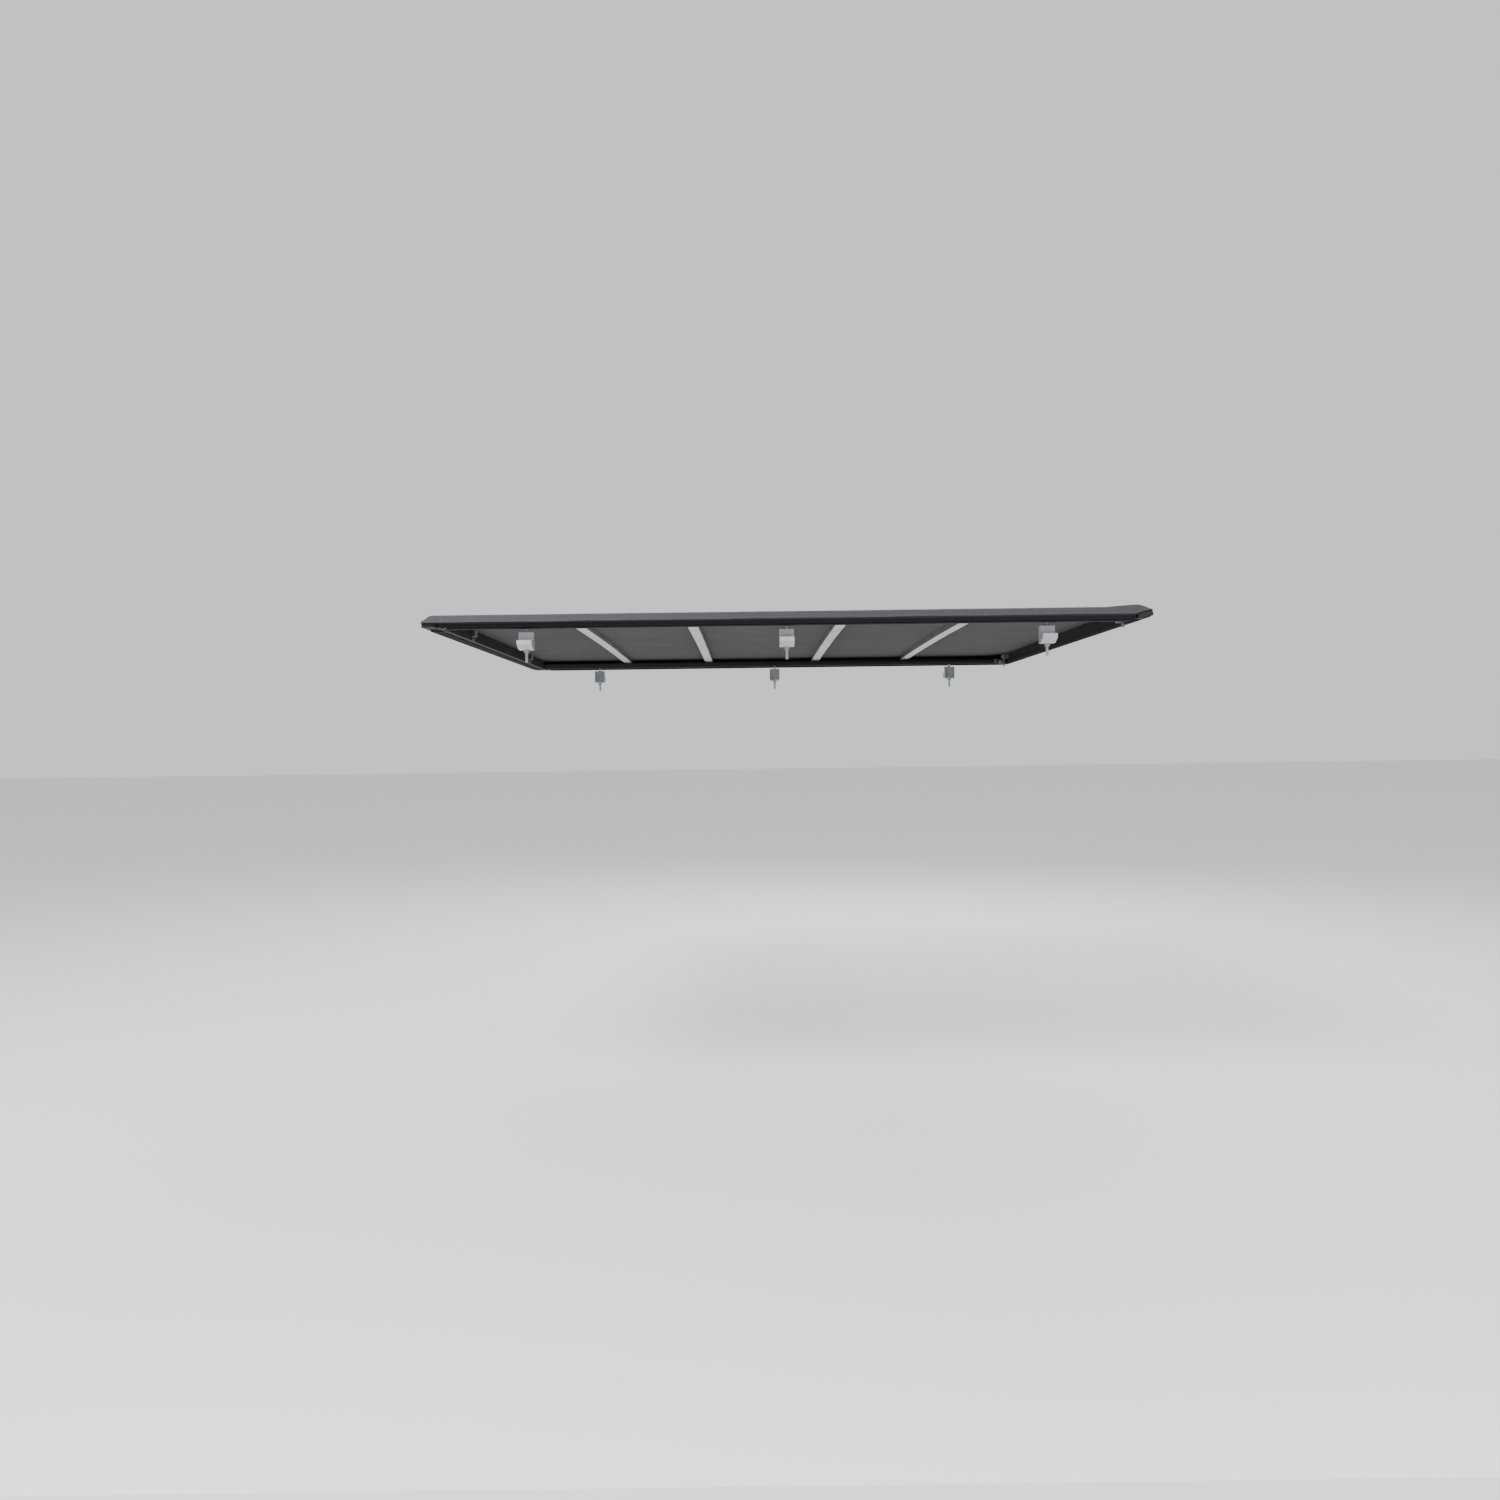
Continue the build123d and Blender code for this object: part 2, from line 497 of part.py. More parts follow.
def striker_screw(x, z):
    return rod_y(x, z, 3.9, 758.9, 761.4) + rod_y(x, z, 2.45, 761.3, 767.9)


save("striker_screws", *[piece for x, z in striker_screws_at
                         for piece in both_sides(striker_screw(x, z))])
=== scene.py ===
import json
import math

import bpy
import numpy as np
from mathutils import Matrix, Vector


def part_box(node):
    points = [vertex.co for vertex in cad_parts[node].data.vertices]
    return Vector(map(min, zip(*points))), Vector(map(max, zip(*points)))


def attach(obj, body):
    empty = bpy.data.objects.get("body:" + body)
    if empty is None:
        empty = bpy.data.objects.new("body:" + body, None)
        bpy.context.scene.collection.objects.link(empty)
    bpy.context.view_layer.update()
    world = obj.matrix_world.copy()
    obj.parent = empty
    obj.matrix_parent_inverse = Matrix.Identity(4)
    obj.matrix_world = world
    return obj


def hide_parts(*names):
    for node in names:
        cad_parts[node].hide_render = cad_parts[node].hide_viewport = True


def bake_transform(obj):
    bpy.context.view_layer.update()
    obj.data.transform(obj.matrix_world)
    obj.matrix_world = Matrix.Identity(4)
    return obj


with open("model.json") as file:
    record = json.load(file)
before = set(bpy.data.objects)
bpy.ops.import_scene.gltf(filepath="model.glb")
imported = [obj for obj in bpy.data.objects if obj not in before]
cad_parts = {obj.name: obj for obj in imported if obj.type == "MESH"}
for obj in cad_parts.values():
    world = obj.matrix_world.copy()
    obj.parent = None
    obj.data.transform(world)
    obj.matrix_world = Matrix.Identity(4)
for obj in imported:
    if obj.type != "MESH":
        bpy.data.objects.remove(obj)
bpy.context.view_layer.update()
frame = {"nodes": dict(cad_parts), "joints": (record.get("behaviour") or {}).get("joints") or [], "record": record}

nodes = frame["nodes"]
scene = bpy.context.scene


# ---- camera, floor and light -----------------------------------------------------------------
def look_along(eye, target, roll):
    """Rotation of a camera at eye that looks at target, turned by roll about its line of sight."""
    direction = (Vector(target) - Vector(eye)).normalized()
    return direction.to_track_quat("-Z", "Y").to_matrix().to_4x4() @ Matrix.Rotation(roll, 4, "Z")


EYE = (-0.1056, -3.945, -0.3407)
FOCAL_LENGTH = 27.47
CAMERA_ROLL = math.radians(-0.748)
FLOOR_Z, FLOOR_REACH = -1.40, 60.0

camera_data = bpy.data.cameras.new("camera")
camera_data.sensor_width = 36.0
camera_data.lens = FOCAL_LENGTH
camera = bpy.data.objects.new("camera", camera_data)
camera.matrix_world = Matrix.Translation(EYE) @ look_along(EYE, (EYE[0], 0.0, EYE[2]), CAMERA_ROLL)
scene.collection.objects.link(camera)
scene.camera = camera


def stage_material(name, color, roughness):
    material = bpy.data.materials.new(name)
    material.use_nodes = True
    shader = material.node_tree.nodes["Principled BSDF"]
    shader.inputs["Base Color"].default_value = (*color, 1)
    shader.inputs["Roughness"].default_value = roughness
    return material


def plane(name, size, z):
    mesh = bpy.data.meshes.new(name)
    corners = [(-size, -size, z), (size, -size, z), (size, size, z), (-size, size, z)]
    mesh.from_pydata(corners, [], [(0, 1, 2, 3)])
    piece = bpy.data.objects.new(name, mesh)
    scene.collection.objects.link(piece)
    return piece


floor = plane("floor", FLOOR_REACH, FLOOR_Z)
floor.data.materials.append(stage_material("floor_paint", (0.80, 0.81, 0.82), 0.9))

world = bpy.data.worlds.new("studio")
scene.world = world
world.use_nodes = True
world.node_tree.nodes["Background"].inputs["Color"].default_value = (0.93, 0.95, 0.98, 1)
world.node_tree.nodes["Background"].inputs["Strength"].default_value = 0.95


def area_light(name, place, target, size, power, color):
    light = bpy.data.lights.new(name, "AREA")
    light.shape = "RECTANGLE"
    light.size, light.size_y = size
    light.energy = power
    light.color = color
    lamp = bpy.data.objects.new(name, light)
    lamp.matrix_world = Matrix.Translation(place) @ look_along(place, target, 0.0)
    scene.collection.objects.link(lamp)


area_light("key", (-2.4, -3.4, 3.6), (0.0, -0.3, 0.0), (2.2, 1.6), 430.0, (1.0, 0.98, 0.95))
area_light("fill", (3.4, -2.2, 2.4), (0.3, 0.0, 0.0), (2.5, 2.0), 60.0, (0.93, 0.96, 1.0))
area_light("back", (1.0, 3.6, 2.8), (0.0, 0.4, 0.0), (2.8, 1.4), 200.0, (0.95, 0.97, 1.0))
area_light("under", (0.0, -2.4, -1.2), (0.0, 0.0, 0.0), (3.0, 1.0), 14.0, (1.0, 1.0, 1.0))


# ---- materials -------------------------------------------------------------------------------
class Nodes:
    """Small helper that adds shader nodes to one material and links them."""

    def __init__(self, name, color, roughness, metallic=0.0, specular=0.5):
        self.material = bpy.data.materials.new(name)
        self.material.use_nodes = True
        self.tree = self.material.node_tree
        self.shader = self.tree.nodes["Principled BSDF"]
        self.shader.inputs["Base Color"].default_value = (*color, 1)
        self.shader.inputs["Roughness"].default_value = roughness
        self.shader.inputs["Metallic"].default_value = metallic
        self.shader.inputs["Specular IOR Level"].default_value = specular
        self.place = self.add("ShaderNodeTexCoord").outputs["Object"]

    def add(self, kind, **values):
        node = self.tree.nodes.new(kind)
        for key, value in values.items():
            setattr(node, key, value)
        return node

    def link(self, output, socket):
        self.tree.links.new(output, socket)

    def scaled(self, scale, turn=(0, 0, 0)):
        mapping = self.add("ShaderNodeMapping")
        mapping.inputs["Scale"].default_value = scale
        mapping.inputs["Rotation"].default_value = turn
        self.link(self.place, mapping.inputs["Vector"])
        return mapping.outputs["Vector"]

    def noise(self, scale, detail=2.0, rough=0.5, vector=None, distortion=0.0):
        node = self.add("ShaderNodeTexNoise")
        node.inputs["Scale"].default_value = scale
        node.inputs["Detail"].default_value = detail
        node.inputs["Roughness"].default_value = rough
        node.inputs["Distortion"].default_value = distortion
        self.link(vector or self.place, node.inputs["Vector"])
        return node.outputs["Fac"]

    def cells(self, scale, vector=None, feature="F1", randomness=1.0):
        node = self.add("ShaderNodeTexVoronoi", feature=feature)
        node.inputs["Scale"].default_value = scale
        node.inputs["Randomness"].default_value = randomness
        self.link(vector or self.place, node.inputs["Vector"])
        return node.outputs["Distance"]

    def wave(self, scale, direction, vector=None, distortion=0.0, profile="SIN"):
        node = self.add("ShaderNodeTexWave", bands_direction=direction, wave_profile=profile)
        node.inputs["Scale"].default_value = scale
        node.inputs["Distortion"].default_value = distortion
        self.link(vector or self.place, node.inputs["Vector"])
        return node.outputs["Fac"]

    def spread(self, value, low, high, to_low=0.0, to_high=1.0):
        node = self.add("ShaderNodeMapRange")
        node.inputs["From Min"].default_value = low
        node.inputs["From Max"].default_value = high
        node.inputs["To Min"].default_value = to_low
        node.inputs["To Max"].default_value = to_high
        self.link(value, node.inputs["Value"])
        return node.outputs["Result"]

    def math(self, operation, a, b):
        node = self.add("ShaderNodeMath", operation=operation)
        for socket, value in zip(node.inputs, (a, b)):
            if isinstance(value, (int, float)):
                socket.default_value = value
            else:
                self.link(value, socket)
        return node.outputs["Value"]

    def mix(self, factor, a, b):
        node = self.add("ShaderNodeMix", data_type="RGBA")
        self.link(factor, node.inputs["Factor"])
        for socket, value in ((node.inputs["A"], a), (node.inputs["B"], b)):
            if isinstance(value, tuple):
                socket.default_value = (*value, 1)
            else:
                self.link(value, socket)
        return node.outputs["Result"]

    def color(self, value):
        self.link(value, self.shader.inputs["Base Color"])

    def rough(self, value):
        self.link(value, self.shader.inputs["Roughness"])

    def bump(self, height, strength, distance):
        node = self.add("ShaderNodeBump")
        node.inputs["Strength"].default_value = strength
        node.inputs["Distance"].default_value = distance
        self.link(height, node.inputs["Height"])
        last = getattr(self, "normal", None)
        if last is not None:
            self.link(last, node.inputs["Normal"])
        self.normal = node.outputs["Normal"]
        self.link(self.normal, self.shader.inputs["Normal"])

    def edge_wear(self, low=0.52, high=0.60):
        """Bright on convex edges, from the surface's own curvature."""
        geometry = self.add("ShaderNodeNewGeometry")
        return self.spread(geometry.outputs["Pointiness"], low, high)


def coated_fabric():
    """Satin black vinyl: fine leather grain, cloudy tone, a little dust."""
    m = Nodes("coated_fabric", (0.045, 0.047, 0.052), 0.55, specular=0.36)
    fine = m.cells(620.0, feature="SMOOTH_F1")
    pores = m.noise(300.0, 4.0, 0.6)
    cloudy = m.noise(3.2, 5.0, 0.6, distortion=0.4)
    dust = m.noise(21.0, 6.0, 0.66)
    blend = m.math("ADD", m.math("MULTIPLY", cloudy, 0.62), m.math("MULTIPLY", dust, 0.38))
    base = m.mix(m.spread(blend, 0.36, 0.64), (0.026, 0.027, 0.034), (0.057, 0.0585, 0.066))
    speck = m.spread(m.noise(150.0, 3.0, 0.7), 0.60, 0.74)
    grained = m.mix(m.spread(fine, 0.0, 0.55), base, (0.024, 0.025, 0.029))
    m.color(m.mix(m.math("MULTIPLY", speck, 0.35), grained, (0.16, 0.157, 0.15)))
    m.rough(m.spread(blend, 0.36, 0.64, 0.46, 0.68))
    m.bump(m.math("ADD", m.math("MULTIPLY", fine, 0.7), m.math("MULTIPLY", pores, 0.5)), 0.40, 0.0006)
    m.bump(m.noise(48.0, 4.0, 0.6), 0.20, 0.003)
    m.bump(cloudy, 0.22, 0.03)
    m.shader.inputs["Sheen Weight"].default_value = 0.12
    m.shader.inputs["Sheen Roughness"].default_value = 0.45
    return m.material


def backing_scrim():
    """Woven black backing on the underside of the sheet."""
    m = Nodes("backing_scrim", (0.012, 0.012, 0.013), 0.88, specular=0.10)
    warp = m.wave(260.0, "X")
    weft = m.wave(260.0, "Y")
    weave = m.math("MULTIPLY", warp, weft)
    cloudy = m.noise(6.0, 3.0)
    m.color(m.mix(weave, (0.007, 0.007, 0.008), (0.020, 0.020, 0.022)))
    m.rough(m.spread(cloudy, 0.3, 0.7, 0.78, 0.92))
    m.bump(weave, 0.5, 0.0005)
    m.shader.inputs["Sheen Weight"].default_value = 0.1
    return m.material


def stitch_thread():
    m = Nodes("stitch_thread", (0.10, 0.10, 0.105), 0.7)
    twist = m.wave(900.0, "DIAGONAL")
    m.color(m.mix(twist, (0.07, 0.07, 0.075), (0.13, 0.13, 0.135)))
    m.bump(twist, 0.5, 0.0003)
    return m.material


def shade_darkened_powder_coat():
    # Painted shade: the base colour is darker than black powder coat really is, standing in for the shade that
    # falls on the rail under the skirt; the dust mottling and edge wear on it are the coat's own.
    m = Nodes("shade_darkened_powder_coat", (0.003, 0.003, 0.0032), 0.5, specular=0.03)
    peel = m.noise(900.0, 2.0)
    dust = m.noise(9.0, 5.0, 0.65)
    speck = m.noise(160.0, 3.0, 0.7)
    base = m.mix(m.spread(dust, 0.42, 0.75), (0.0018, 0.0018, 0.002), (0.005, 0.0048, 0.0048))
    m.color(m.mix(m.edge_wear(0.55, 0.66), base, (0.035, 0.035, 0.037)))
    m.rough(m.spread(speck, 0.3, 0.7, 0.36, 0.55))
    m.bump(peel, 0.12, 0.0005)
    return m.material


def mill_aluminium():
    """Mill finish with fine drawing lines along the bar."""
    m = Nodes("mill_aluminium", (0.55, 0.56, 0.57), 0.34, metallic=1.0)
    lines = m.noise(30.0, 4.0, 0.6, vector=m.scaled((40.0, 0.6, 40.0)))
    stain = m.noise(7.0, 4.0, 0.6)
    m.color(m.mix(m.spread(stain, 0.35, 0.7), (0.47, 0.48, 0.49), (0.33, 0.34, 0.35)))
    m.rough(m.spread(lines, 0.3, 0.7, 0.26, 0.42))
    m.bump(lines, 0.10, 0.0004)
    return m.material


def moulded_plastic(name, dark, light):
    m = Nodes(name, dark, 0.55, specular=0.10)
    grain = m.cells(700.0, feature="SMOOTH_F1")
    cloudy = m.noise(30.0, 4.0, 0.6)
    base = m.mix(m.spread(cloudy, 0.35, 0.7), dark, light)
    m.color(m.mix(m.edge_wear(0.54, 0.64), base, tuple(1.8 * c for c in light)))
    m.rough(m.spread(cloudy, 0.3, 0.7, 0.46, 0.64))
    m.bump(grain, 0.18, 0.0004)
    return m.material


def seal_rubber():
    m = Nodes("seal_rubber", (0.007, 0.007, 0.007), 0.72, specular=0.08)
    dust = m.noise(40.0, 5.0, 0.65)
    streak = m.noise(20.0, 3.0, 0.5, vector=m.scaled((1.0, 14.0, 14.0)))
    m.color(m.mix(m.spread(dust, 0.45, 0.75), (0.005, 0.005, 0.005), (0.014, 0.0135, 0.013)))
    m.rough(m.spread(streak, 0.3, 0.7, 0.62, 0.84))
    m.bump(streak, 0.15, 0.0005)
    return m.material


def woven_webbing():
    m = Nodes("woven_webbing", (0.02, 0.02, 0.021), 0.8, specular=0.3)
    ribs = m.wave(330.0, "Z", distortion=0.4)
    cross = m.wave(160.0, "Y", distortion=0.6)
    weave = m.math("ADD", m.math("MULTIPLY", ribs, 0.6), m.math("MULTIPLY", cross, 0.4))
    m.color(m.mix(weave, (0.010, 0.010, 0.011), (0.042, 0.042, 0.044)))
    m.rough(m.spread(weave, 0.0, 1.0, 0.72, 0.9))
    m.bump(weave, 0.6, 0.0006)
    m.shader.inputs["Sheen Weight"].default_value = 0.2
    return m.material


def hook_tape():
    m = Nodes("hook_tape", (0.012, 0.012, 0.012), 0.6)
    hooks = m.cells(620.0, randomness=0.35)
    m.color(m.mix(m.spread(hooks, 0.1, 0.6), (0.035, 0.035, 0.036), (0.006, 0.006, 0.006)))
    m.rough(m.spread(hooks, 0.0, 0.7, 0.45, 0.8))
    m.bump(hooks, -0.8, 0.0008)
    return m.material


def black_oxide():
    m = Nodes("black_oxide", (0.02, 0.02, 0.021), 0.4, metallic=0.6)
    cloudy = m.noise(120.0, 4.0, 0.6)
    base = m.mix(m.spread(cloudy, 0.35, 0.7), (0.015, 0.015, 0.016), (0.035, 0.034, 0.033))
    m.color(m.mix(m.edge_wear(0.55, 0.68), base, (0.18, 0.18, 0.18)))
    m.rough(m.spread(cloudy, 0.3, 0.7, 0.32, 0.5))
    m.bump(cloudy, 0.1, 0.0003)
    return m.material


def zinc_plate():
    """Plated bolt with the thread shown as fine turns along its axis."""
    m = Nodes("zinc_plate", (0.56, 0.58, 0.60), 0.3, metallic=1.0)
    cloudy = m.noise(90.0, 4.0, 0.6)
    turns = m.wave(127.0, "Z", profile="TRI")
    m.color(m.mix(m.spread(cloudy, 0.3, 0.7), (0.44, 0.46, 0.48), (0.27, 0.27, 0.26)))
    m.rough(m.spread(cloudy, 0.3, 0.7, 0.24, 0.44))
    m.bump(turns, 0.35, 0.0005)
    return m.material


def zinc_nut():
    m = Nodes("zinc_nut", (0.56, 0.58, 0.60), 0.3, metallic=1.0)
    cloudy = m.noise(140.0, 4.0, 0.6)
    m.color(m.mix(m.spread(cloudy, 0.3, 0.7), (0.44, 0.46, 0.48), (0.29, 0.29, 0.27)))
    m.rough(m.spread(cloudy, 0.3, 0.7, 0.24, 0.44))
    m.bump(cloudy, 0.08, 0.0004)
    return m.material


def cast_aluminium():
    m = Nodes("cast_aluminium", (0.42, 0.43, 0.44), 0.5, metallic=1.0)
    skin = m.noise(260.0, 5.0, 0.65)
    pits = m.cells(300.0)
    cloudy = m.noise(25.0, 3.0)
    base = m.mix(m.spread(cloudy, 0.3, 0.7), (0.30, 0.31, 0.32), (0.20, 0.205, 0.21))
    m.color(m.mix(m.edge_wear(0.53, 0.64), base, (0.52, 0.53, 0.54)))
    m.rough(m.spread(skin, 0.3, 0.7, 0.42, 0.64))
    m.bump(m.math("SUBTRACT", skin, m.math("MULTIPLY", m.spread(pits, 0.12, 0.0), 0.6)), 0.35, 0.0006)
    return m.material


def coated_steel():
    m = Nodes("coated_steel", (0.02, 0.02, 0.022), 0.38, metallic=0.2)
    peel = m.noise(500.0, 3.0)
    cloudy = m.noise(60.0, 4.0, 0.6)
    base = m.mix(m.spread(cloudy, 0.35, 0.7), (0.016, 0.016, 0.018), (0.034, 0.034, 0.036))
    m.color(m.mix(m.edge_wear(0.54, 0.66), base, (0.20, 0.20, 0.21)))
    m.rough(m.spread(cloudy, 0.3, 0.7, 0.30, 0.48))
    m.bump(peel, 0.12, 0.0004)
    return m.material


FINISH = {
    "coated_fabric": coated_fabric(),
    "black_rail": shade_darkened_powder_coat(),
    "bow_tube": mill_aluminium(),
    "black_plastic": moulded_plastic("black_plastic", (0.012, 0.012, 0.013), (0.024, 0.024, 0.025)),
    "grey_plastic": moulded_plastic("grey_plastic", (0.0060, 0.0061, 0.0056), (0.0120, 0.0120, 0.0110)),
    "rubber_seal": seal_rubber(),
    "webbing": woven_webbing(),
    "black_screw": black_oxide(),
    "zinc_steel": zinc_nut(),
    "cast_aluminium": cast_aluminium(),
    "latch_steel": coated_steel(),
}
SPECIAL = {"hook_tapes": hook_tape(), "clamp_t_bolts": zinc_plate()}
scrim = backing_scrim()
thread = stitch_thread()

slot_of = {part["node"]: part["material_slot"] for part in frame["record"]["subparts"]}
for name, node in nodes.items():
    node.data.materials.clear()
    node.data.materials.append(SPECIAL.get(name, FINISH[slot_of[name]]))

# ---- the sheet -------------------------------------------------------------------------------
# All lengths below are in metres, in the row frame.
HALF_LENGTH = 0.995
SHOULDER_Y, HEM_Y = 0.822, 0.845
SIDE_TOP, CROWN_TOP, HEADER_TOP = 0.038, 0.044, 0.0382
HEM_Z = 0.016
SHEET = 0.0012
HEADER_REAR, TAIL_FRONT = -0.947, 0.953
RISE_START = 0.868
NOSE_TOP_X, NOSE_TOP_Z = 0.964, 0.028
FRONT_TOP_X, FRONT_SLOPE = -0.975, 1.02
LIP_X, LIP_SLOPE = -0.9925, 0.9
SAG_DEPTH, SLACK_WAVE, PULL_HEIGHT = 0.0022, 0.0003, 0.0006
SKIRT_WAVE, HEM_WAVE = 0.0007, 0.0006
BEAD_HEIGHT = 0.0007
GRID_STEP = 0.0075

panels = [f"panel_{k:02d}" for k in range(1, 14)] + ["tail"]
folds = [next(j for j in frame["joints"] if j["child"] == body)["pos_m"][0] for body in panels]
edges = folds + [HALF_LENGTH]
middles = [(a + b) / 2 for a, b in zip(edges, edges[1:])]
bow_x = [sum(c[0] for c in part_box(f"bow_{n}")) / 2 for n in range(1, 5)]
supports = [HEADER_REAR] + bow_x + [TAIL_FRONT]


def smoothstep(t):
    t = np.clip(t, 0.0, 1.0)
    return t * t * (3 - 2 * t)


def soft_min(a, b, radius):
    """Lower of a and b, with their crease rounded over about radius."""
    h = np.clip(0.5 + 0.5 * (b - a) / radius, 0.0, 1.0)
    return b + (a - b) * h - radius * h * (1 - h)


def side_top(x):
    rise = np.clip((x - RISE_START) / (TAIL_FRONT - RISE_START), 0, 1)
    return SIDE_TOP + (CROWN_TOP - 0.0003 - SIDE_TOP) * rise


def centre_top(x):
    return HEADER_TOP + (CROWN_TOP - HEADER_TOP) * np.clip((x - HEADER_REAR) / (folds[0] - HEADER_REAR), 0, 1)


def sag(x):
    """The sheet hangs a little between the bows that carry it."""
    out = np.zeros_like(x)
    for a, b in zip(supports, supports[1:]):
        t = np.clip((x - a) / (b - a), 0, 1)
        out = np.maximum(out, 4 * t * (1 - t))
    return out


def ripple(x, phase):
    return (0.45 * np.sin(x * 15.1 + phase) + 0.30 * np.sin(x * 27.7 + 1.7 * phase + 0.6)
            + 0.25 * np.sin(x * 43.0 + 2.3 * phase + 1.9))


def skirt_wave(x, side):
    """Slight waviness of the skirt, dying out at both stiff ends."""
    ends = smoothstep((x + 0.93) / 0.10) * smoothstep((0.90 - x) / 0.10)
    return ripple(x, np.where(side > 0, 0.4, 2.1)) * ends


def corner_pull(x, y):
    """Faint folds that run from each corner, where the sheet is pulled tight."""
    out = np.zeros_like(x)
    for corner_x, toward, phase in ((-0.965, 1, 0.3), (0.950, -1, 1.4)):
        for side in (-1, 1):
            dx, dy = (x - corner_x) * toward, SHOULDER_Y - y * side
            reach = np.hypot(dx, dy)
            angle = np.arctan2(dy, dx)
            inside = smoothstep(dx / 0.03) * smoothstep(dy / 0.03) * np.exp(-reach / 0.17)
            out += inside * np.sin(17 * angle + phase + side) * smoothstep(reach / 0.06)
    return out


def hem_height(x):
    """Lower edge of the skirt: level, kicked up at the rear corner."""
    rise = np.interp(x, [TAIL_FRONT - 0.006, NOSE_TOP_X, HALF_LENGTH], [0.0, 0.0055, 0.0125])
    return HEM_Z + rise


def top_surface(x, y):
    """Outer face of the sheet over x and y, down to the hem."""
    across = np.abs(y) / SHOULDER_Y
    side, centre = side_top(x), centre_top(x)
    crown = side + (centre - side) * (1 - np.clip(across, 0, 1) ** 2)
    stiff = np.clip(1 - across, 0, 1)
    crown = crown - SAG_DEPTH * sag(x) * smoothstep(stiff * 2.5)
    slack = smoothstep((across - 0.90) / 0.08) * (1 - smoothstep((across - 0.995) / 0.01))
    crown = crown + SLACK_WAVE * slack * skirt_wave(x, np.sign(y)) * sag(x)
    crown = crown + PULL_HEIGHT * corner_pull(x, y)
    slope = side - (np.abs(y) - SHOULDER_Y) * (side_top(x) - HEM_Z) / (HEM_Y - SHOULDER_Y)
    front = SIDE_TOP - (FRONT_TOP_X - x) * FRONT_SLOPE - LIP_SLOPE * np.clip(LIP_X - x, 0, None)
    rear = CROWN_TOP - (x - NOSE_TOP_X) * (CROWN_TOP - NOSE_TOP_Z) / (HALF_LENGTH - NOSE_TOP_X)
    z = soft_min(crown, slope, 0.0045)
    z = soft_min(z, front, 0.0050)
    return soft_min(z, rear, 0.0060)


def column_places():
    """X of every row of points along the cover; each cut between two pieces is one of them."""
    places = {-HALF_LENGTH, HALF_LENGTH, *middles[:-1]}
    for a, b in zip([-HALF_LENGTH] + middles[:-1], middles[:-1] + [HALF_LENGTH]):
        count = max(2, int(round((b - a) / GRID_STEP)))
        places.update(a + (b - a) * i / count for i in range(count + 1))
    places.update(-HALF_LENGTH + 0.0012 * i for i in range(22))
    places.update(NOSE_TOP_X - 0.006 + 0.0015 * i for i in range(25))
    out = []
    for x in sorted(p for p in places if p <= HALF_LENGTH + 1e-9):
        if not out or x - out[-1] > 2e-4 or x in middles:
            if out and x - out[-1] <= 2e-4:
                out.pop()
            out.append(x)
    return np.array(out)


def across_places():
    """Share across the sheet, from the left hem at -1 to the right hem at +1."""
    hem = np.linspace(HEM_Y, HEM_Y - 0.0030, 8)
    skirt = np.linspace(HEM_Y - 0.0042, SHOULDER_Y + 0.004, 9)
    bend = np.linspace(SHOULDER_Y + 0.003, SHOULDER_Y - 0.006, 10)
    near = np.linspace(SHOULDER_Y - 0.009, 0.78, 8)
    flat = np.linspace(0.765, 0.0, 56)
    right = np.concatenate([hem, skirt, bend, near, flat])
    return np.concatenate([-right, right[::-1][1:]])


XS = column_places()
YS = across_places()


def hem_y(x):
    """How far out the skirt reaches where its hem is kicked up."""
    side = side_top(x)
    return SHOULDER_Y + (HEM_Y - SHOULDER_Y) * (side - hem_height(x)) / (side - HEM_Z)


def outer_points():
    """Grid of points (columns along X, rows across) on the outer face."""
    x, y = np.meshgrid(XS, YS, indexing="ij")
    reach = hem_y(x)
    beyond = np.clip((np.abs(y) - SHOULDER_Y) / (HEM_Y - SHOULDER_Y), 0, 1)
    y = np.where(np.abs(y) > SHOULDER_Y, np.sign(y) * (SHOULDER_Y + beyond * (reach - SHOULDER_Y)), y)
    z = top_surface(x, y)
    out = np.where(np.abs(y) > SHOULDER_Y - 0.004, beyond ** 0.8, 0.0)
    wave = skirt_wave(x, y)
    y = y + np.sign(y) * SKIRT_WAVE * out * wave
    z = z + HEM_WAVE * beyond ** 1.5 * wave
    return np.stack([x, y, z], -1)


def grid_normals(points):
    du = np.gradient(points, axis=0)
    dv = np.gradient(points, axis=1)
    normal = np.cross(du, dv)
    return normal / np.linalg.norm(normal, axis=-1, keepdims=True)


def hem_bead(x):
    """Height of the folded and stitched hem over the single sheet, along both skirts and the front."""
    beyond = np.clip((np.abs(YS) - SHOULDER_Y) / (HEM_Y - SHOULDER_Y), 0, 1)
    share = np.broadcast_to(beyond, (len(x), len(YS)))
    along = np.broadcast_to(np.clip((-0.9885 - x) / 0.0065, 0, 1)[:, None], share.shape)
    t = np.maximum((share - 0.865) / 0.135, along)
    return BEAD_HEIGHT * smoothstep(t / 0.30) * (1 - 0.75 * smoothstep((t - 0.72) / 0.28))


POINTS = outer_points()
NORMALS = grid_normals(POINTS)
POINTS = POINTS + NORMALS * hem_bead(XS)[..., None]


def new_piece(name, verts, faces, material_list, face_materials=None):
    mesh = bpy.data.meshes.new(name)
    mesh.from_pydata([tuple(v) for v in verts], [], faces)
    for material in material_list:
        mesh.materials.append(material)
    if face_materials is not None:
        mesh.polygons.foreach_set("material_index", face_materials)
    mesh.polygons.foreach_set("use_smooth", [True] * len(mesh.polygons))
    mesh.update()
    mesh.set_sharp_from_angle(angle=math.radians(50))
    piece = bpy.data.objects.new(name, mesh)
    scene.collection.objects.link(piece)
    return piece


